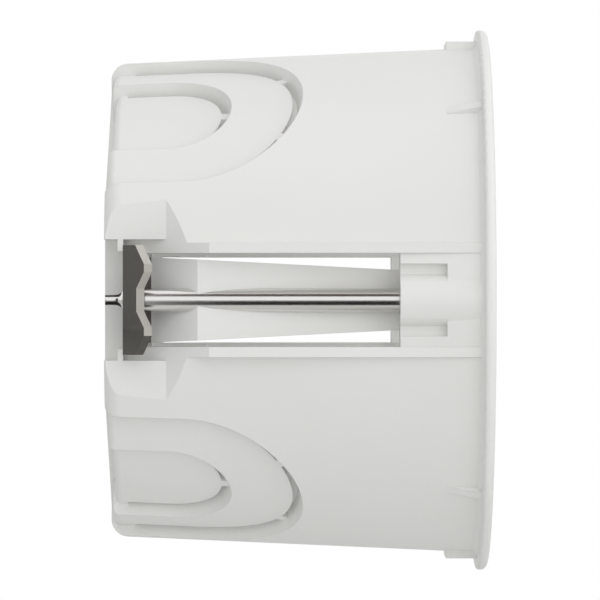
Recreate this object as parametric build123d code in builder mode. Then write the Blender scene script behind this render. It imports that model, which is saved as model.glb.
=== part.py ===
"""Round flush mounting box for hollow walls, with two screw-drawn claws.

Frame: the origin is the centre of the flange's back face, which sits on the wall.
+X points out of the wall through the opening, +Z is up, and the claws lie on -Y (left) and +Y (right).
All sizes are in millimetres.
"""
from build123d import *
import math
import os

os.makedirs("parts", exist_ok=True)

# Box wall, floor and flange
depth = 48.0
front_radius = 33.35
back_radius = 31.2
wall = 1.6
floor = 1.6
back_corner = 2.2
flange_lip = 2.3
flange_thickness = 1.4
flange_rear_round = 0.4
flange_front_round = 0.8
flange_flare = 0.6

# Wall-hole pads and ribs behind the flange
pad_radius = 33.95
pad_length = 4.0
pad_width = 10.0
rib_angle = 43.2
rib_length = 4.6
rib_height = 1.0
rib_width = 1.2

# Stepped knock-outs, placed by their angle from the claw direction; each flares outwards from its
# arch, whose width and reach are given at a plane inside the wall, and has a groove that leaves a web
knockout_angle = 55.0
knockout_step = 1.5
knockout_back_step = 0.45
knockout_corner = 0.9
flare_angle = 14.0
flare_level = 24.0
outer_width = 26.1
outer_reach = 23.1
inner_width = 13.0
inner_reach = 14.4
groove_width = 0.9
groove_web = 0.4
outer_groove_start = 3.2
inner_groove_start = 2.4
bridge_width = 1.3
bridge_angle = 28.0

# Device screws on the standard 60 mm pitch
device_pitch = 60.0
device_hole = 2.6
device_hole_depth = 18.0
device_boss = 6.4
device_boss_length = 21.0

# Claw screw and the spherical washer that it swings on
screw_offset = 29.4
screw_diameter = 3.0
head_diameter = 5.4
head_height = 2.3
head_round = 0.6
cross_width = 0.9
cross_span = 3.0
cross_depth = 1.2
tip_diameter = 1.27
tip_length = 2.3
tip_pin = 1.2
tip_inset = 0.2
swivel_x = 1.0
swivel_radius = 4.0
washer_diameter = 5.6
washer_top = -1.5
running_fit = 0.05
head_room = 0.9
swing_room = 1.55
bore_room = 0.2

# Claw slot, tongue and ramp
slot_half = 5.9
pocket_length = 5.9
slot_front = 10.6
ridge_inset = 11.9
ridge_height = 1.3
ramp_angle = 36.0
tongue_angle = 7.2
tongue_back_half = 5.4
tongue_front_half = 3.8
tongue_plate = 1.5
groove_room = 0.12
groove_wall = 1.2
rail_width = 1.3
rail_plane = 32.9

# Claw pocket with its sloped front, and the flats beside it
pocket_half = 7.65
pocket_floor = 24.5
pocket_wall = 1.4
flat_plane = 28.9
flat_length = 7.9
nub_length = 0.7
nub_width = 1.5

# Screw tube with the small pockets beside it, and the wider half-round boss behind the flange
tube_radius = 3.4
tube_crest = 33.6
boss_radius = 4.3
boss_crest = 33.95
boss_inner = 25.0
relief_length = 5.9
relief_half = 4.55
relief_depth = 1.8

# Claw plate
claw_thickness = 1.5
claw_half = 6.9
claw_leg_half = 5.4
claw_ear = 1.8
claw_inset = 2.5
claw_bend_height = 1.95
claw_bite_reach = 2.75
claw_bite_rise = 2.35
claw_leg_reach = 2.05
claw_leg_drop = 5.1
claw_bend_round = 0.4
tooth_outer = 4.5
tooth_inner = 3.5
valley_half = 1.45
valley_depth = 1.3
corner_depth = 1.5

# How far the cutting forms run past the faces that they cut, just past and well clear
cut_past = 1.0
cut_clear = 10.0

# Values worked out from the sizes above
draft = (front_radius - back_radius) / depth
flange_radius = front_radius + flange_lip
slot_back = depth - pocket_length
ridge_back = depth - ridge_inset
flat_front = depth - flat_length
claw_bend_x = -depth + claw_inset
tip_x = -depth + tip_inset
ridge_x = -ridge_back
ridge_r = screw_offset + ridge_height
ramp_slope = math.tan(math.radians(ramp_angle))
tongue_slope = math.tan(math.radians(tongue_angle))
slot_length = slot_back - slot_front
slot_middle = -(slot_back + slot_front) / 2
far_out = flange_radius + cut_clear
flats_slope_x = -flat_front - flat_plane / ramp_slope

# Sections are drawn as distance along the box against distance from its axis towards the left claw;
# plans are drawn looking at the left claw, as distance along the box against height.
section = Plane(origin=(0, 0, 0), x_dir=(1, 0, 0), z_dir=(0, 0, -1))
plan = Plane(origin=(0, 0, 0), x_dir=(1, 0, 0), z_dir=(0, -1, 0))
screw_axis = Axis((0, -screw_offset, 0), (1, 0, 0))


def body_form(inset, back_inset, corner_round):
    """The solid round form of the box, taken in by an inset at the side and another at the back."""
    back_x = -depth + back_inset
    with BuildPart() as form:
        with BuildSketch(section):
            with BuildLine():
                Polyline(
                    (back_x, 0),
                    (back_x, back_radius + draft * back_inset - inset),
                    (flange_thickness, front_radius + draft * flange_thickness - inset),
                    (flange_thickness, 0),
                    close=True,
                )
            make_face()
            corner = vertices().group_by(Axis.X)[0].sort_by(Axis.Y)
            fillet(max(corner, key=lambda point: abs(point.Y)), corner_round)
        revolve(axis=Axis.X)
    return form.part


def knockout_plane(angle):
    """A plane through the axis that faces out at an angle measured from the left claw."""
    turn = math.radians(angle)
    return Plane(origin=(0, 0, 0), x_dir=(1, 0, 0), z_dir=(0, -math.cos(turn), math.sin(turn)))


def knockout_space(angle, width, reach):
    """The room of a knock-out: an arch with straight sides and a half-round front, flaring outwards."""
    half = width / 2
    back = -depth - cut_past
    apex = -depth + reach
    with BuildPart() as space:
        with BuildSketch(knockout_plane(angle).offset(flare_level)):
            with BuildLine():
                Polyline((apex - half, half), (back, half), (back, -half), (apex - half, -half))
                RadiusArc((apex - half, half), (apex - half, -half), half)
            make_face()
        extrude(amount=flange_radius - flare_level, taper=-flare_angle)
    return space.part


def knockout_groove(angle, width, reach, start, bridges):
    """The groove just inside a knock-out's outline, broken by bridges at the given angles."""
    centre_x = -depth + reach - width / 2
    with BuildPart() as groove:
        add(knockout_space(angle, width, reach))
        add(knockout_space(angle, width - 2 * groove_width, reach - groove_width), mode=Mode.SUBTRACT)
        with BuildSketch(knockout_plane(angle).offset(flare_level)):
            with Locations((-depth, 0)):
                Rectangle(2 * start, 4 * outer_width)
            for bridge in bridges:
                with Locations(Location((centre_x, 0, 0), (0, 0, bridge))):
                    with Locations((outer_width, 0)):
                        Rectangle(2 * outer_width, bridge_width)
        extrude(amount=far_out, mode=Mode.SUBTRACT)
    return groove.part


outer_form = body_form(0, 0, back_corner)
first_panel = body_form(knockout_step, knockout_back_step, knockout_corner)
second_panel = body_form(2 * knockout_step, 2 * knockout_back_step, knockout_corner)
knockout_angles = [knockout_angle, -knockout_angle, 180 - knockout_angle, 180 + knockout_angle]
rib_angles = [90 - rib_angle, rib_angle - 90, 90 + rib_angle, -90 - rib_angle]

# Tongue with its ramp, ridge and screw groove, one for each claw
with BuildPart() as tongue:
    ramp_foot_r = ridge_r - (slot_back - ridge_back) * ramp_slope
    front_r = ridge_r - (ridge_back - slot_front) * tongue_slope
    with BuildSketch(section):
        with BuildLine():
            Polyline(
                (-slot_back, pocket_floor - pocket_wall),
                (-slot_back, ramp_foot_r),
                (ridge_x, ridge_r),
                (-slot_front, front_r),
                (-slot_front, front_r - tongue_plate),
                (ridge_x, ridge_r - tongue_plate),
                (-slot_back + tongue_plate, ramp_foot_r - tongue_plate),
                (-slot_back + tongue_plate, pocket_floor - pocket_wall),
                close=True,
            )
        make_face()
    extrude(amount=slot_half, both=True)
    groove_radius = screw_diameter / 2 + groove_room
    with BuildSketch(Plane(origin=(-slot_back, -screw_offset, 0), x_dir=(0, 1, 0), z_dir=(1, 0, 0))):
        Circle(groove_radius + groove_wall)
    extrude(amount=slot_length)
    with BuildSketch(section):
        with BuildLine():
            Polyline(
                (-slot_back, 0),
                (-slot_back, ramp_foot_r),
                (ridge_x, ridge_r),
                (-slot_front, front_r),
                (-slot_front, 0),
                close=True,
            )
        make_face()
    extrude(amount=slot_half, both=True, mode=Mode.INTERSECT)
    with BuildSketch(plan):
        with BuildLine():
            Polyline(
                (-slot_back, tongue_back_half),
                (-slot_front, tongue_front_half),
                (-slot_front, -tongue_front_half),
                (-slot_back, -tongue_back_half),
                close=True,
            )
        make_face()
    extrude(amount=far_out, mode=Mode.INTERSECT)
    with BuildSketch(Plane(origin=(-slot_back, -screw_offset, 0), x_dir=(0, 1, 0), z_dir=(1, 0, 0))):
        Circle(groove_radius)
        with Locations((-far_out / 2, 0)):
            Rectangle(far_out, 2 * groove_radius)
    extrude(amount=slot_length, mode=Mode.SUBTRACT)

# Walls of the claw pocket: floor, two sides and their sloped fronts, inside the round form
with BuildPart() as pocket_housing:
    with BuildSketch(plan.offset(pocket_floor - pocket_wall)):
        with Locations((-(depth + ridge_back) / 2, 0)):
            Rectangle(depth - ridge_back, 2 * (pocket_half + pocket_wall))
    extrude(amount=far_out)
    add(outer_form, mode=Mode.INTERSECT)

# Front boss that carries the screw tube
with BuildPart() as screw_boss:
    with BuildSketch(plan.offset(boss_inner)):
        with Locations((-(slot_front - flange_thickness) / 2, 0)):
            Rectangle(slot_front + flange_thickness, 2 * slot_half)
    extrude(amount=far_out)
    add(outer_form, mode=Mode.INTERSECT)
    with BuildSketch(plan.offset(front_radius - relief_depth)):
        with Locations((-slot_front + relief_length / 2, 0)):
            Rectangle(relief_length, 2 * relief_half)
    extrude(amount=far_out, mode=Mode.SUBTRACT)
    tube_start = (-slot_front, -(tube_crest - tube_radius), 0)
    with BuildSketch(Plane(origin=tube_start, x_dir=(0, 1, 0), z_dir=(1, 0, 0))):
        Circle(tube_radius)
    extrude(amount=relief_length)
    boss_start = (-slot_front + relief_length, -(boss_crest - boss_radius), 0)
    with BuildSketch(Plane(origin=boss_start, x_dir=(0, 1, 0), z_dir=(1, 0, 0))):
        Circle(boss_radius)
    extrude(amount=slot_front - relief_length)

# Raised rails beside the slot
with BuildPart() as rails:
    with BuildSketch(section):
        with BuildLine():
            Polyline(
                (-flat_front, flat_plane - wall),
                (-flat_front, flat_plane),
                (-flat_front + (rail_plane - flat_plane) / ramp_slope, rail_plane),
                (0, rail_plane),
                (0, flat_plane - wall),
                close=True,
            )
        make_face()
    extrude(amount=slot_half + rail_width, both=True)
    with BuildSketch(section):
        with Locations((slot_middle, 0)):
            Rectangle(4 * depth, 4 * depth)
    extrude(amount=slot_half, both=True, mode=Mode.SUBTRACT)

# Everything cut away for one claw: the pocket and the flats up to one slope, then the slot from the
# pocket to the front boss
with BuildPart() as claw_room:
    for level, half in ((pocket_floor, pocket_half), (flat_plane, flange_radius / 2)):
        with BuildSketch(section):
            with BuildLine():
                Polyline(
                    (-depth - cut_past, level),
                    (flats_slope_x + level / ramp_slope, level),
                    (flats_slope_x + far_out / ramp_slope, far_out),
                    (-depth - cut_past, far_out),
                    close=True,
                )
            make_face()
        extrude(amount=half, both=True)
    with BuildSketch(plan.offset(pocket_floor)):
        with Locations((-(depth + slot_back + cut_past) / 2, 0)):
            Rectangle(pocket_length + cut_past, 2 * slot_half)
    extrude(amount=far_out)

with BuildPart() as slot_room:
    with BuildSketch(plan.offset(pocket_floor - pocket_wall - cut_past)):
        with Locations((slot_middle + relief_length / 2, 0)):
            Rectangle(slot_length + relief_length, 2 * slot_half)
    extrude(amount=far_out)

# Room for the screw, its washer and its head, wide enough outwards for the swing
with BuildPart() as screw_room:
    bore_radius = screw_diameter / 2 + bore_room
    bore_start = (-slot_front - cut_past, -screw_offset, 0)
    with BuildSketch(Plane(origin=bore_start, x_dir=(0, -1, 0), z_dir=(1, 0, 0))):
        Circle(bore_radius)
        with Locations((swing_room, 0)):
            Circle(bore_radius)
        with Locations((swing_room / 2, 0)):
            Rectangle(swing_room, 2 * bore_radius)
    extrude(amount=slot_front)
    seat_radius = swivel_radius + running_fit
    seat_half = washer_diameter / 2 + head_room / 2
    with BuildSketch(section):
        with BuildLine():
            Polyline(
                (swivel_x - seat_radius, screw_offset),
                (flange_thickness + cut_past, screw_offset),
                (flange_thickness + cut_past, screw_offset + seat_half),
                (swivel_x - math.sqrt(seat_radius**2 - seat_half**2), screw_offset + seat_half),
            )
            RadiusArc(
                (swivel_x - seat_radius, screw_offset),
                (swivel_x - math.sqrt(seat_radius**2 - seat_half**2), screw_offset + seat_half),
                seat_radius,
            )
        make_face()
    revolve(axis=screw_axis)

# Nubs that hold the claw plate upright in its pocket
with BuildPart() as nubs:
    with BuildSketch(plan.offset(pocket_floor)):
        with Locations((claw_bend_x - nub_length / 2 - running_fit, 0)):
            with GridLocations(0, 2 * pocket_half - nub_width, 1, 2):
                Rectangle(nub_length, nub_width)
    extrude(amount=flat_plane - pocket_floor)

# Bosses for the device screws, inside the wall above and below the opening
with BuildPart() as device_bosses:
    with BuildSketch(Plane.YZ.offset(flange_thickness)):
        with GridLocations(0, device_pitch, 1, 2):
            Circle(device_boss / 2)
    extrude(amount=-device_boss_length)
    add(outer_form, mode=Mode.INTERSECT)

# Knock-outs: the recess of each step, the wall set back behind it and the groove round it
with BuildPart() as knockout_recess:
    for angle in knockout_angles:
        add(knockout_space(angle, outer_width, outer_reach))
    add(first_panel, mode=Mode.SUBTRACT)

with BuildPart() as knockout_backing:
    for angle in knockout_angles:
        add(knockout_space(angle, outer_width + 2 * wall, outer_reach + wall))
    add(first_panel, mode=Mode.INTERSECT)
    add(body_form(knockout_step + wall, knockout_back_step + floor, knockout_corner), mode=Mode.SUBTRACT)

with BuildPart() as centre_recess:
    for angle in knockout_angles:
        add(knockout_space(angle, inner_width, inner_reach))
    add(second_panel, mode=Mode.SUBTRACT)

with BuildPart() as centre_backing:
    for angle in knockout_angles:
        add(knockout_space(angle, inner_width + 2 * wall, inner_reach + wall))
    add(second_panel, mode=Mode.INTERSECT)
    add(body_form(2 * knockout_step + wall, 2 * knockout_back_step + floor, knockout_corner), mode=Mode.SUBTRACT)

with BuildPart() as outer_grooves:
    for angle in knockout_angles:
        add(knockout_groove(angle, outer_width, outer_reach, outer_groove_start, (bridge_angle, -bridge_angle)))
    add(body_form(knockout_step + wall - groove_web, floor, back_corner), mode=Mode.SUBTRACT)

with BuildPart() as inner_grooves:
    for angle in knockout_angles:
        add(knockout_groove(angle, inner_width, inner_reach, inner_groove_start, (0,)))
    add(body_form(2 * knockout_step + wall - groove_web, floor, back_corner), mode=Mode.SUBTRACT)

# Box body, one moulding
with BuildPart() as box_body:
    add(outer_form)
    with BuildSketch(section):
        with BuildLine():
            Polyline((0, 0), (0, flange_radius), (flange_thickness, flange_radius), (flange_thickness, 0), close=True)
        make_face()
        rim = vertices().filter_by(lambda point: abs(point.Y) > flange_radius / 2)
        fillet(rim.sort_by(Axis.X)[0], flange_rear_round)
        rim = vertices().filter_by(lambda point: abs(point.Y) > flange_radius / 2)
        fillet(rim.sort_by(Axis.X)[-1], flange_front_round)
        with BuildLine():
            Polyline(
                (-flange_flare, 0),
                (-flange_flare, front_radius - draft * flange_flare),
                (0, front_radius + flange_flare),
                (0, 0),
                close=True,
            )
        make_face()
    revolve(axis=Axis.X)
    with BuildSketch(plan):
        with Locations((-pad_length / 2, 0)):
            Rectangle(pad_length, 2 * pad_radius)
    extrude(amount=pad_width / 2, both=True)
    for angle in rib_angles:
        rib_plane = knockout_plane(angle)
        with BuildSketch(Plane(origin=(0, 0, 0), x_dir=(1, 0, 0), z_dir=-rib_plane.y_dir)):
            with BuildLine():
                Polyline(
                    (-rib_length, 0),
                    (-rib_length, front_radius - draft * rib_length),
                    (0, front_radius + rib_height),
                    (0, 0),
                    close=True,
                )
            make_face()
        extrude(amount=rib_width / 2, both=True)
    add(body_form(wall, floor, back_corner), mode=Mode.SUBTRACT)
    add(device_bosses.part)
    add(knockout_recess.part, mode=Mode.SUBTRACT)
    add(knockout_backing.part)
    add(centre_recess.part, mode=Mode.SUBTRACT)
    add(centre_backing.part)
    add(outer_grooves.part, mode=Mode.SUBTRACT)
    add(inner_grooves.part, mode=Mode.SUBTRACT)
    for turn in (0, 180):
        to_side = Rotation(turn, 0, 0)
        add(to_side * pocket_housing.part)
        add(to_side * claw_room.part, mode=Mode.SUBTRACT)
        add(to_side * slot_room.part, mode=Mode.SUBTRACT)
        add(to_side * rails.part)
        add(to_side * nubs.part)
        add(to_side * tongue.part)
        add(to_side * screw_boss.part)
        add(to_side * screw_room.part, mode=Mode.SUBTRACT)
    with BuildSketch(Plane.YZ.offset(flange_thickness)):
        with GridLocations(0, device_pitch, 1, 2):
            Circle(device_hole / 2)
    extrude(amount=-device_hole_depth, mode=Mode.SUBTRACT)

box_body.part.label = "box_body"
export_step(box_body.part, "parts/box_body.step")

# Claw screw: long plain shaft, pan head with a cross recess and a turned-down tip
with BuildPart() as claw_screw:
    shaft_radius = screw_diameter / 2
    head_x = washer_top + running_fit
    with BuildSketch(section):
        with BuildLine():
            Polyline(
                (tip_x + tip_length, screw_offset + shaft_radius),
                (head_x, screw_offset + shaft_radius),
                (head_x, screw_offset + head_diameter / 2),
                (head_x + head_height, screw_offset + head_diameter / 2),
                (head_x + head_height, screw_offset),
                (tip_x, screw_offset),
                (tip_x, screw_offset + tip_diameter / 2),
                (tip_x + tip_pin, screw_offset + tip_diameter / 2),
            )
            TangentArc(
                (tip_x + tip_pin, screw_offset + tip_diameter / 2),
                (tip_x + tip_length, screw_offset + shaft_radius),
                tangent=(1, 0),
            )
        make_face()
    revolve(axis=screw_axis)
    fillet(claw_screw.edges().filter_by(GeomType.CIRCLE).sort_by(Axis.X)[-1], head_round)
    with BuildSketch(Plane(origin=(head_x + head_height, -screw_offset, 0), x_dir=(0, 1, 0), z_dir=(1, 0, 0))):
        Rectangle(cross_span, cross_width)
        Rectangle(cross_width, cross_span)
    extrude(amount=-cross_depth, mode=Mode.SUBTRACT)

# Spherical washer: flat under the head, round towards its seat
with BuildPart() as swivel_washer:
    washer_radius = washer_diameter / 2
    washer_bore = screw_diameter / 2 + running_fit
    with BuildSketch(section):
        with BuildLine():
            Polyline(
                (swivel_x - math.sqrt(swivel_radius**2 - washer_bore**2), screw_offset + washer_bore),
                (washer_top, screw_offset + washer_bore),
                (washer_top, screw_offset + washer_radius),
                (swivel_x - math.sqrt(swivel_radius**2 - washer_radius**2), screw_offset + washer_radius),
            )
            RadiusArc(
                (swivel_x - math.sqrt(swivel_radius**2 - washer_bore**2), screw_offset + washer_bore),
                (swivel_x - math.sqrt(swivel_radius**2 - washer_radius**2), screw_offset + washer_radius),
                swivel_radius,
            )
        make_face()
    revolve(axis=screw_axis)

# Claw: a bent plate with a toothed biting leg outwards and a threaded leg down to the ramp
bend = (claw_bend_x, screw_offset + claw_bend_height)
tooth_end = (bend[0] + claw_bite_reach, bend[1] + claw_bite_rise)
leg_end = (bend[0] + claw_leg_reach, bend[1] - claw_leg_drop)
bite_length = math.hypot(claw_bite_reach, claw_bite_rise)
bite_plane = Plane(
    origin=(bend[0], -bend[1], 0),
    x_dir=(claw_bite_reach, -claw_bite_rise, 0),
    z_dir=(-claw_bite_rise, -claw_bite_reach, 0),
)
with BuildPart() as claw:
    with BuildSketch(section):
        with BuildLine():
            Polyline(tooth_end, bend, leg_end)
            offset(amount=claw_thickness, side=Side.LEFT)
        make_face()
        fillet(vertices().sort_by(Axis.X)[0], claw_bend_round)
    extrude(amount=claw_half, both=True)
    # The threaded leg is narrower than the slot that it runs in
    with BuildSketch(plan):
        with Locations((bend[0], 0)):
            Rectangle(4 * claw_bite_reach, 4 * claw_half)
            Rectangle(4 * claw_bite_reach, 2 * claw_leg_half, mode=Mode.SUBTRACT)
    extrude(amount=bend[1] - claw_ear, mode=Mode.SUBTRACT)
    # Two teeth, with a valley between them and cut corners beside them
    with BuildSketch(bite_plane):
        with BuildLine():
            Polyline(
                (bite_length, tooth_inner),
                (bite_length - valley_depth, valley_half),
                (bite_length - valley_depth, -valley_half),
                (bite_length, -tooth_inner),
                close=True,
            )
        make_face()
        for side in (1, -1):
            with BuildLine():
                Polyline(
                    (bite_length, side * tooth_outer),
                    (bite_length, side * claw_half),
                    (bite_length - corner_depth, side * claw_half),
                    close=True,
                )
            make_face()
    extrude(amount=-claw_thickness, mode=Mode.SUBTRACT)
    # Threaded hole on the screw
    with BuildSketch(Plane(origin=(bend[0], -screw_offset, 0), x_dir=(0, 1, 0), z_dir=(1, 0, 0))):
        Circle(screw_diameter / 2 + running_fit)
    extrude(amount=depth, both=True, mode=Mode.SUBTRACT)

for turn, side in ((0, "left"), (180, "right")):
    for piece, name in ((claw_screw, "claw_screw"), (swivel_washer, "swivel_washer"), (claw, "claw")):
        placed = Rotation(turn, 0, 0) * piece.part
        placed.label = f"{side}_{name}"
        export_step(placed, f"parts/{side}_{name}.step")
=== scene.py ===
import math

import bmesh
import bpy
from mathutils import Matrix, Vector


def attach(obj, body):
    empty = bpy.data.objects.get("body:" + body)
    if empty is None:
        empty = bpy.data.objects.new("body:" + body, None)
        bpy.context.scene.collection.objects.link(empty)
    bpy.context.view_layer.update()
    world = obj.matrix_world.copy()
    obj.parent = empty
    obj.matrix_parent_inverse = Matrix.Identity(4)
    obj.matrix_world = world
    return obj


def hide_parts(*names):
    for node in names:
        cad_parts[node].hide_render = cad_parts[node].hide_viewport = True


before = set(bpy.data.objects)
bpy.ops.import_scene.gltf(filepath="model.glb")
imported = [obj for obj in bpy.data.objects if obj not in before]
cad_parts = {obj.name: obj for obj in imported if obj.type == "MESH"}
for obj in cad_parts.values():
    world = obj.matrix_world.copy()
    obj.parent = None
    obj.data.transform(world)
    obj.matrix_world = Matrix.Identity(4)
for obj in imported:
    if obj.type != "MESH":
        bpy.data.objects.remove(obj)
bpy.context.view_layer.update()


# Box body
# One injection moulding in warm white thermoplastic: a tapered cup with a thin flange, stepped knock-outs
# and, on two sides, an open slot with the ramp that lifts a claw. Its edges carry the mould's small radii.
mm = 0.001
body_edge_round = 0.12 * mm


def linear(hex_colour):
    """An sRGB hex colour as the linear colour that a shader takes."""
    channels = [int(hex_colour[i:i + 2], 16) / 255 for i in (1, 3, 5)]
    return [c / 12.92 if c <= 0.04045 else ((c + 0.055) / 1.055) ** 2.4 for c in channels] + [1.0]


def add_node(tree, kind, settings=None, **inputs):
    """Adds a node with its properties and its inputs, each a value or a socket to link; _6 is input 6."""
    node = tree.nodes.new(kind)
    for name, value in (settings or {}).items():
        setattr(node, name, value)
    for name, value in inputs.items():
        socket = node.inputs[int(name[1:])] if name[0] == "_" else node.inputs[name.replace("_", " ")]
        if isinstance(value, bpy.types.NodeSocket):
            tree.links.new(value, socket)
        else:
            socket.default_value = value
    return node


def new_material(name):
    """An empty node material, its nodes, its shader and the Object coordinates that its patterns use."""
    material = bpy.data.materials.new(name)
    material.use_nodes = True
    tree = material.node_tree
    place = add_node(tree, "ShaderNodeTexCoord").outputs["Object"]
    return material, tree, tree.nodes["Principled BSDF"], place


def moulded_abs(name, edge_round):
    """Moulded ABS: matt from a spark-eroded mould, with a slow drift in tone where the melt flowed."""
    material, tree, shader, place = new_material(name)
    flow_size = 14 * mm
    # The real grain is finer and wouldn't show
    grain_size = 0.22 * mm
    flow = add_node(tree, "ShaderNodeTexNoise", Vector=place, Scale=1 / flow_size, Detail=3.0)
    grain = add_node(tree, "ShaderNodeTexNoise", Vector=place, Scale=1 / grain_size, Detail=2.0)
    bump = add_node(tree, "ShaderNodeBump", Height=grain.outputs["Fac"], Strength=0.05, Distance=0.02 * mm)
    if edge_round:
        rounded = add_node(tree, "ShaderNodeBevel", {"samples": 6}, Radius=edge_round)
        tree.links.new(rounded.outputs["Normal"], bump.inputs["Normal"])
    white = add_node(tree, "ShaderNodeMix", {"data_type": "RGBA"}, _0=flow.outputs["Fac"],
                     _6=linear("#F0F0ED"), _7=linear("#F4F4F2"))
    sheen = add_node(tree, "ShaderNodeMapRange", Value=flow.outputs["Fac"], To_Min=0.46, To_Max=0.56)
    tree.links.new(white.outputs[2], shader.inputs["Base Color"])
    tree.links.new(sheen.outputs["Result"], shader.inputs["Roughness"])
    tree.links.new(bump.outputs["Normal"], shader.inputs["Normal"])
    shader.inputs["IOR"].default_value = 1.5
    return material


def dress(node, material):
    """Gives a CAD node its finish."""
    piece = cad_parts[node]
    piece.data.materials.clear()
    piece.data.materials.append(material)


dress("box_body", moulded_abs("moulded_abs_warm_white", body_edge_round))


# Snap lips over the screws
# The ridge of each tongue is moulded round its screw and holds it with two thin lips of the same plastic,
# which give way as the screw swings out. They lie on the tongue over the open groove, as a very thin skin.
ridge = Vector((-36.1, -30.7, 0)) * mm
groove_y = -29.4 * mm
ramp_fall, tongue_fall = math.radians(36), math.radians(7.2)
lip_half = 2.4 * mm
lip_skin = 0.006 * mm
lip_bore = 1.505 * mm
lip_back, lip_front = -38.8 * mm, -20.9 * mm
lip_depth = 0.65 * mm
lip_floor = groove_y + lip_depth
drill_length = 50 * mm
cut_threshold = 0.001 * mm
sharp_plastic = moulded_abs("moulded_abs_sharp_edged", 0)


def rod_along_box(middle, length, half, rise, sides):
    """A rod along the box, round or oval, by its half sizes upwards and outwards."""
    bpy.ops.object.select_all(action="DESELECT")
    bpy.ops.mesh.primitive_cylinder_add(vertices=sides, radius=1, depth=length, location=middle,
                                        rotation=(0, math.pi / 2, 0))
    rod = bpy.context.object
    rod.scale = (half, rise, 1)
    bpy.ops.object.transform_apply(location=True, rotation=True, scale=True)
    return rod


def cut_with(piece, tool, operation):
    """Cuts a piece with another, or keeps only what they share, and takes the other away."""
    cut = piece.modifiers.new("cut", "BOOLEAN")
    cut.object = tool
    cut.operation = operation
    bpy.context.view_layer.objects.active = piece
    bpy.ops.object.modifier_apply(modifier=cut.name)
    bpy.data.objects.remove(tool)


def shade_smooth(piece, sharpest):
    """Shades a piece smooth, apart from the edges that turn by more than this many degrees."""
    bpy.ops.object.select_all(action="DESELECT")
    piece.select_set(True)
    bpy.ops.object.shade_smooth_by_angle(angle=math.radians(sharpest))


def turned_copy(piece, name):
    """A copy with a mesh of its own, turned half a turn about the box's axis to the other claw's side."""
    other = piece.copy()
    other.data = piece.data.copy()
    other.name = name
    bpy.context.collection.objects.link(other)
    other.rotation_euler.x = math.pi
    bpy.ops.object.select_all(action="DESELECT")
    other.select_set(True)
    bpy.context.view_layer.objects.active = other
    bpy.ops.object.transform_apply(location=True, rotation=True, scale=True)
    return other


# A block on the ridge, sloped like the ramp and the tongue, and bored for the screw
lip_top = ridge + Vector((0, -lip_skin, 0))
bpy.ops.object.select_all(action="DESELECT")
bpy.ops.mesh.primitive_cube_add(size=1, location=((lip_back + lip_front) / 2, (lip_floor + lip_top.y) / 2, 0))
lips = bpy.context.object
lips.name = "left_snap_lips"
lips.scale = (lip_front - lip_back, lip_floor - lip_top.y, 2 * lip_half)
bpy.ops.object.transform_apply(location=True, rotation=True, scale=True)
bpy.ops.object.mode_set(mode="EDIT")
for slope in (Vector((-math.sin(ramp_fall), -math.cos(ramp_fall), 0)),
              Vector((math.sin(tongue_fall), -math.cos(tongue_fall), 0))):
    bpy.ops.mesh.select_all(action="SELECT")
    bpy.ops.mesh.bisect(plane_co=lip_top, plane_no=slope, use_fill=True, clear_outer=True,
                        threshold=cut_threshold)
bpy.ops.object.mode_set(mode="OBJECT")
lips.data.materials.append(sharp_plastic)
drill = rod_along_box((ridge.x, groove_y, 0), drill_length, lip_bore, lip_bore, sides=96)
drill.data.materials.append(sharp_plastic)
cut_with(lips, drill, "DIFFERENCE")
shade_smooth(lips, sharpest=20)
for piece in (lips, turned_copy(lips, "right_snap_lips")):
    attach(piece, "box")


# Crests of the screw tubes
# Each screw tube is moulded flush with the wider boss before it, so one crest runs over both and only the
# tube's flanks fall away to the small pockets beside it. The crest is a skin of the same plastic on the tube.
crest_back, crest_front = -10.6 * mm, -4.3 * mm
crest_overrun = 1 * mm
boss_radius, boss_y = 4.3 * mm, -29.65 * mm
flank_half, flank_rise, flank_y = 3.3 * mm, 3.2 * mm, -31.0 * mm
tube_radius, tube_y = 3.4 * mm, -30.2 * mm

# The boss carried on along the tube, narrowed to the flanks, less the tube itself
crest_x = (crest_back + crest_front) / 2
crest_length = crest_front - crest_back
cutter_length = crest_length + 2 * crest_overrun
crest_radius = boss_radius + lip_skin
crest = rod_along_box((crest_x, boss_y, 0), crest_length, crest_radius, crest_radius, sides=160)
flanks = rod_along_box((crest_x, flank_y, 0), cutter_length, flank_half, flank_rise, sides=160)
tube = rod_along_box((crest_x, tube_y, 0), cutter_length, tube_radius, tube_radius, sides=160)
crest.name = "left_tube_crest"
for rod in (crest, flanks, tube):
    rod.data.materials.append(sharp_plastic)
cut_with(crest, flanks, "INTERSECT")
cut_with(crest, tube, "DIFFERENCE")
shade_smooth(crest, sharpest=25)
for piece in (crest, turned_copy(crest, "right_tube_crest")):
    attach(piece, "box")


# Claw screws and their washers
# Long bright plated steel screws, drawn and polished along their length, with a pan head in the flange and
# a turned-down tip behind the claw. The spherical washer under each head has a duller plating.

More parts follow.
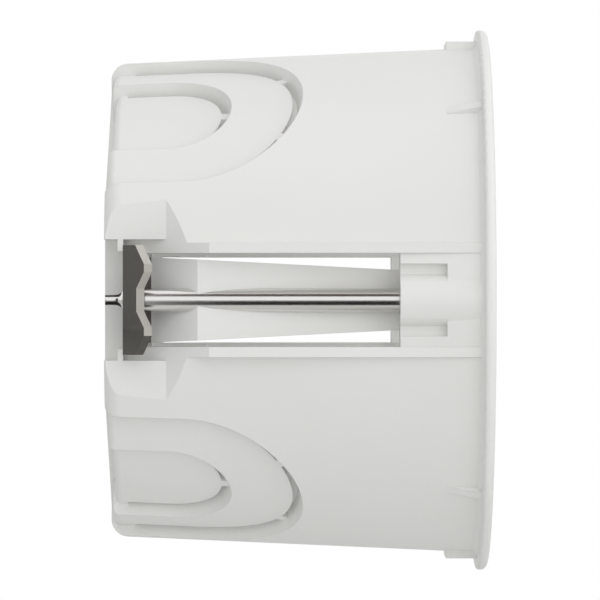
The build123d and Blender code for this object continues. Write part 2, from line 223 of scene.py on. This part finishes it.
# Bright zinc plating: nearly a mirror, blurred in fine streaks along the shaft, drawn wider than real ones
bright, tree, shader, place = new_material("bright_zinc_plated_steel")
streak_length = 30 * mm
streak_width = 0.12 * mm
turned_edge_round = 0.25 * mm
along = add_node(tree, "ShaderNodeMapping", Vector=place)
along.inputs["Scale"].default_value = (1 / streak_length, 1 / streak_width, 1 / streak_width)
streaks = add_node(tree, "ShaderNodeTexNoise", Vector=along.outputs["Vector"], Scale=1.0, Detail=2.0)
plating = add_node(tree, "ShaderNodeMix", {"data_type": "RGBA"}, _0=streaks.outputs["Fac"],
                   _6=linear("#E4E2DF"), _7=linear("#EEEDEB"))
polish = add_node(tree, "ShaderNodeMapRange", Value=streaks.outputs["Fac"], To_Min=0.15, To_Max=0.23)
turned_edge = add_node(tree, "ShaderNodeBevel", {"samples": 6}, Radius=turned_edge_round)
tree.links.new(plating.outputs[2], shader.inputs["Base Color"])
tree.links.new(polish.outputs["Result"], shader.inputs["Roughness"])
tree.links.new(turned_edge.outputs["Normal"], shader.inputs["Normal"])
shader.inputs["Metallic"].default_value = 1.0

# Barrel zinc plating: a soft grey sheen with a faint spangle
dull, tree, shader, place = new_material("zinc_plated_washer_steel")
spangle_size = 0.5 * mm
spangle = add_node(tree, "ShaderNodeTexNoise", Vector=place, Scale=1 / spangle_size, Detail=3.0)
plating = add_node(tree, "ShaderNodeMix", {"data_type": "RGBA"}, _0=spangle.outputs["Fac"],
                   _6=linear("#A3A29E"), _7=linear("#B7B5B0"))
polish = add_node(tree, "ShaderNodeMapRange", Value=spangle.outputs["Fac"], To_Min=0.3, To_Max=0.45)
tree.links.new(plating.outputs[2], shader.inputs["Base Color"])
tree.links.new(polish.outputs["Result"], shader.inputs["Roughness"])
shader.inputs["Metallic"].default_value = 1.0

for side in ("left", "right"):
    dress(f"{side}_claw_screw", bright)
    dress(f"{side}_swivel_washer", dull)


# Claws
# Bent plates blanked from dark oiled spring-steel strip, so the faces are dark and the sheared ends bright,
# apart from the ends facing down at one corner, painted dark as shade. Two teeth bite the board; the other
# leg is tapped.
claw_thickness = 1.5 * mm
claw_half = 6.9 * mm
leg_half = 5.4 * mm
bend = Vector((-45.5, -31.35, 0)) * mm
bite = Vector((2.75, -2.35, 0)) * mm
leg = Vector((2.05, 5.1, 0)) * mm
ear_depth = 1.8 * mm
ear_share = ear_depth / leg.y
tooth_outer, tooth_inner, valley_half = 4.5 * mm, 3.5 * mm, 1.45 * mm
corner_depth, valley_depth = 1.5 * mm, 1.3 * mm
hole_radius = 1.55 * mm
claw_edge_round = 0.05 * mm
sharp_edge = math.radians(35)
painted_shade_tilt = 0.3
tiny = 0.01 * mm

# Oiled strip: dark grey with a satin sheen, finely mottled by the oil
dark, tree, shader, place = new_material("oiled_spring_steel")
film_size = 0.35 * mm
film = add_node(tree, "ShaderNodeTexNoise", Vector=place, Scale=1 / film_size, Detail=4.0)
steel = add_node(tree, "ShaderNodeMix", {"data_type": "RGBA"}, _0=film.outputs["Fac"],
                 _6=linear("#575551"), _7=linear("#676560"))
polish = add_node(tree, "ShaderNodeMapRange", Value=film.outputs["Fac"], To_Min=0.4, To_Max=0.55)
bump = add_node(tree, "ShaderNodeBump", Height=film.outputs["Fac"], Strength=0.12, Distance=0.02 * mm)
tree.links.new(steel.outputs[2], shader.inputs["Base Color"])
tree.links.new(polish.outputs["Result"], shader.inputs["Roughness"])
tree.links.new(bump.outputs["Normal"], shader.inputs["Normal"])
shader.inputs["Metallic"].default_value = 0.6

# Sheared ends: pale bare steel, dulled by fine tears
sheared, tree, shader, place = new_material("sheared_spring_steel")
tear_size = 0.1 * mm
tears = add_node(tree, "ShaderNodeTexNoise", Vector=place, Scale=1 / tear_size, Detail=2.0)
steel = add_node(tree, "ShaderNodeMix", {"data_type": "RGBA"}, _0=tears.outputs["Fac"],
                 _6=linear("#CBC7C1"), _7=linear("#DAD7D2"))
bump = add_node(tree, "ShaderNodeBump", Height=tears.outputs["Fac"], Strength=0.15, Distance=0.02 * mm)
tree.links.new(steel.outputs[2], shader.inputs["Base Color"])
tree.links.new(bump.outputs["Normal"], shader.inputs["Normal"])
shader.inputs["Metallic"].default_value = 0.7
shader.inputs["Roughness"].default_value = 0.5


def pick(kind, test):
    """Selects the edges or faces of the mesh in edit mode whose middle passes the test."""
    bpy.ops.mesh.select_mode(type=kind)
    bpy.ops.mesh.select_all(action="DESELECT")
    shape = bmesh.from_edit_mesh(bpy.context.edit_object.data)
    for item in shape.edges if kind == "EDGE" else shape.faces:
        if test(sum((v.co for v in item.verts), Vector()) / len(item.verts)):
            item.select_set(True)
    bmesh.update_edit_mesh(bpy.context.edit_object.data)


def along_bite(point):
    """How far a point lies from the bend, along the biting leg."""
    return (point - bend).dot(bite.normalized())


def along_leg(point):
    """How far a point lies from the bend, along the tapped leg."""
    return (point - bend).dot(leg.normalized())


# The sheet: the biting leg as a plane, and the other leg drawn out from its bent edge in two widths
bpy.ops.object.select_all(action="DESELECT")
bpy.ops.mesh.primitive_plane_add(size=1, location=bend + bite / 2,
                                 rotation=(math.pi / 2, 0, math.atan2(bite.y, bite.x)))
claw = bpy.context.object
claw.name = "left_claw_plate"
claw.scale = (bite.length, 2 * claw_half, 1)
bpy.ops.object.transform_apply(location=True, rotation=True, scale=True)
bpy.ops.object.mode_set(mode="EDIT")
pick("EDGE", lambda p: abs(along_bite(p)) < tiny)
bpy.ops.mesh.extrude_region_move(TRANSFORM_OT_translate={"value": leg * ear_share})
pick("EDGE", lambda p: abs(along_leg(p) - ear_share * leg.length) < tiny and abs(p.z) < tiny)
bpy.ops.mesh.extrude_region_move(TRANSFORM_OT_translate={"value": leg * (1 - ear_share)})
for up in (1, -1):
    pick("FACE", lambda p: along_leg(p) > ear_share * leg.length)
    bpy.ops.mesh.bisect(plane_co=(0, 0, up * leg_half), plane_no=(0, 0, up), clear_outer=True,
                        threshold=cut_threshold)

# Its teeth: cut corners outside them and a valley between them
across = bite.normalized()
for up in (1, -1):
    slant = (across * (claw_half - tooth_outer) + Vector((0, 0, up * corner_depth))).normalized()
    pick("FACE", lambda p: along_bite(p) > tiny)
    bpy.ops.mesh.bisect(plane_co=bend + bite + Vector((0, 0, up * tooth_outer)), plane_no=slant,
                        clear_outer=True, threshold=cut_threshold)
pick("FACE", lambda p: along_bite(p) > tiny)
bpy.ops.mesh.bisect(plane_co=bend + bite - across * valley_depth, plane_no=across, threshold=cut_threshold)
for up in (1, -1):
    slant = (across * (tooth_inner - valley_half) - Vector((0, 0, up * valley_depth))).normalized()
    pick("FACE", lambda p: along_bite(p) > bite.length - valley_depth + tiny)
    bpy.ops.mesh.bisect(plane_co=bend + bite + Vector((0, 0, up * tooth_inner)), plane_no=slant,
                        threshold=cut_threshold)
pick("FACE", lambda p: along_bite(p) > bite.length - valley_depth + tiny and abs(p.z) < valley_half)
bpy.ops.mesh.delete(type="FACE")
bpy.ops.object.mode_set(mode="OBJECT")

# Its thickness, tapped hole, painted shade on its downward sheared ends and broken edges
claw.data.materials.append(dark)
claw.data.materials.append(sheared)
plate = claw.modifiers.new("plate", "SOLIDIFY")
plate.thickness = claw_thickness
plate.offset = -1
plate.use_even_offset = True
plate.material_offset_rim = 1
bpy.ops.object.modifier_apply(modifier="plate")
drill = rod_along_box((bend.x, groove_y, 0), drill_length, hole_radius, hole_radius, sides=64)
drill.data.materials.append(dark)
drill.data.materials.append(sheared)
for face in drill.data.polygons:
    face.material_index = 1
cut_with(claw, drill, "DIFFERENCE")
# Painted shade: the sheared ends at the lower corner that face downwards get the dark steel, as they face
# away from the light above
for face in claw.data.polygons:
    if face.center.z < -tooth_outer and face.normal.z < -painted_shade_tilt:
        face.material_index = 0
edges = claw.modifiers.new("edges", "BEVEL")
edges.width = claw_edge_round
edges.segments = 2
edges.limit_method = "ANGLE"
edges.angle_limit = sharp_edge
bpy.ops.object.modifier_apply(modifier="edges")
shade_smooth(claw, sharpest=15)

# The right claw is the same plate turned half a turn about the box's axis
for side, piece in (("left", claw), ("right", turned_copy(claw, "right_claw_plate"))):
    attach(piece, f"{side}_grip")
    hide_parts(f"{side}_claw")


# Floor, light and camera
# A pale floor well below the box, an even white surround, soft lamps on four sides of it, and dark cards
# that only the steel's reflections see, which paint dark reflections on it. The camera looks square on to the
# left claw.
world = bpy.data.worlds.new("studio")
bpy.context.scene.world = world
world.use_nodes = True
tree = world.node_tree
surround = tree.nodes["Background"]
surround.inputs["Color"].default_value = (1, 1, 1, 1)
surround.inputs["Strength"].default_value = 0.47
backdrop = add_node(tree, "ShaderNodeBackground", Color=(1, 1, 1, 1), Strength=1.0)
path = add_node(tree, "ShaderNodeLightPath")
seen = add_node(tree, "ShaderNodeMath", {"operation": "MAXIMUM"}, _0=path.outputs["Is Camera Ray"],
                _1=path.outputs["Is Glossy Ray"])
seen = add_node(tree, "ShaderNodeMath", {"operation": "MAXIMUM"}, _0=seen.outputs[0],
                _1=path.outputs["Is Transmission Ray"])
mix = add_node(tree, "ShaderNodeMixShader", _0=seen.outputs[0], _1=surround.outputs[0],
               _2=backdrop.outputs[0])
tree.links.new(mix.outputs[0], tree.nodes["World Output"].inputs["Surface"])

# Floor paint: matt pale grey with a faint mottle
floor_middle = Vector((0, -1050, -100)) * mm
floor_length, floor_width = 6000 * mm, 3900 * mm
mottle_size = 125 * mm
floor_paint, tree, shader, place = new_material("pale_floor_paint")
mottle = add_node(tree, "ShaderNodeTexNoise", Vector=place, Scale=1 / mottle_size, Detail=2.0)
grey = add_node(tree, "ShaderNodeMix", {"data_type": "RGBA"}, _0=mottle.outputs["Fac"],
                _6=linear("#E5E5E4"), _7=linear("#E9E9E8"))
tree.links.new(grey.outputs[2], shader.inputs["Base Color"])
shader.inputs["Roughness"].default_value = 0.8
bpy.ops.object.select_all(action="DESELECT")
bpy.ops.mesh.primitive_plane_add(size=1, location=floor_middle)
floor = bpy.context.object
floor.scale = (floor_length, floor_width, 1)
floor.name = "floor"
floor.data.materials.append(floor_paint)

# Cards that paint reflections on the steel: two before the left screw, whose painted reflection fades along
# it, two round its tip that paint its end dark, and one beyond it
card_y = -60 * mm
card_back, card_front = -45.5 * mm, 20 * mm
fade_back, fade_front = -45 * mm, -33 * mm
tip_back, tip_front = -51 * mm, -45.8 * mm
tip_gap = 3.5 * mm
tip_inner_y, under_tip_y, over_tip_y = -21.4 * mm, -36.9 * mm, -30.9 * mm
side_x, side_half = -100 * mm, 60 * mm
side_outer_y, side_inner_y = -200 * mm, -70 * mm


def before_screw(back_low, front_low, back_high, front_high):
    """The corners of a card before the screw, by their angles above it at the card's back and front ends."""
    places = ((card_back, back_low), (card_front, front_low),
              (card_back, back_high), (card_front, front_high))
    return [(x, card_y, (groove_y - card_y) * math.tan(math.radians(angle))) for x, angle in places]


def level_with(outer_y, z):
    """The corners of a level card by the screw's tip."""
    return [(x, y, z) for y in (outer_y, tip_inner_y) for x in (tip_back, tip_front)]


cards = {
    "lower_card": ("#A5A29F", "#161616", before_screw(-50, -54, -14, -7)),
    "upper_card": ("#8E8884", "#4A3B35", before_screw(34, 33, 60, 62)),
    "under_tip_card": ("#1C1A19", None, level_with(under_tip_y, -tip_gap)),
    "over_tip_card": ("#3A302B", None, level_with(over_tip_y, tip_gap)),
    "side_card": ("#1C1A19", None, [(side_x, y, z) for z in (-side_half, side_half)
                                    for y in (side_outer_y, side_inner_y)]),
}
# Each card's grey is a painted reflection: the cards are hidden from the camera, from diffuse light and from
# shadows
for name, (back_grey, front_grey, corners) in cards.items():
    painted_reflection, tree, shader, place = new_material(f"{name}_board")
    shader.inputs["Base Color"].default_value = linear(back_grey)
    shader.inputs["Roughness"].default_value = 0.9
    if front_grey:
        along = add_node(tree, "ShaderNodeSeparateXYZ", Vector=place)
        share = add_node(tree, "ShaderNodeMapRange", Value=along.outputs["X"], From_Min=fade_back,
                         From_Max=fade_front)
        fade = add_node(tree, "ShaderNodeMix", {"data_type": "RGBA"}, _0=share.outputs["Result"],
                        _6=linear(back_grey), _7=linear(front_grey))
        tree.links.new(fade.outputs[2], shader.inputs["Base Color"])
    bpy.ops.object.select_all(action="DESELECT")
    bpy.ops.mesh.primitive_plane_add(size=1)
    card = bpy.context.object
    card.name = name
    for vertex, corner in zip(card.data.vertices, corners):
        vertex.co = corner
    card.data.materials.append(painted_reflection)
    card.visible_camera = False
    card.visible_diffuse = False
    card.visible_shadow = False
    card.visible_transmission = False

# Lamps, each with its place, its width and its power in watts, aimed at the middle of the box
aim = Vector((-20, 0, 0)) * mm
lamps = {
    "top_softbox": ((0.1, -0.3, 0.8), 1.2, 1.91),
    "front_softbox": ((0.2, -0.85, 0.2), 1.0, 2.95),
    "mouth_softbox": ((0.75, -0.1, 0.4), 0.6, 1.1),
    "rear_softbox": ((-0.45, 0.75, 0.35), 1.0, 1.3),
}
for name, (spot, width, power) in lamps.items():
    bpy.ops.object.select_all(action="DESELECT")
    bpy.ops.object.light_add(type="AREA", location=spot)
    lamp = bpy.context.object
    lamp.name = name
    lamp.data.size = width
    lamp.data.energy = power
    lamp.visible_glossy = False
    lamp.rotation_euler = (aim - lamp.location).to_track_quat("-Z", "Y").to_euler()

# The camera's picture is as wide as the photo's, at the photo's scale in the plane of the box's axis
photo_pixels, pixels_per_mm = 600, 7.55
camera_distance = 620 * mm
camera_x = -23.2 * mm
sensor_width = 36
view_width = photo_pixels / pixels_per_mm * mm
camera_data = bpy.data.cameras.new("camera")
camera = bpy.data.objects.new("camera", camera_data)
bpy.context.scene.collection.objects.link(camera)
camera.location = (camera_x, -camera_distance, 0)
camera.rotation_euler = (math.radians(90), 0, 0)
camera_data.sensor_width = sensor_width
camera_data.lens = sensor_width * camera_distance / view_width
camera_data.clip_end = 10
bpy.context.scene.camera = camera

bpy.context.scene.view_settings.view_transform = "Standard"
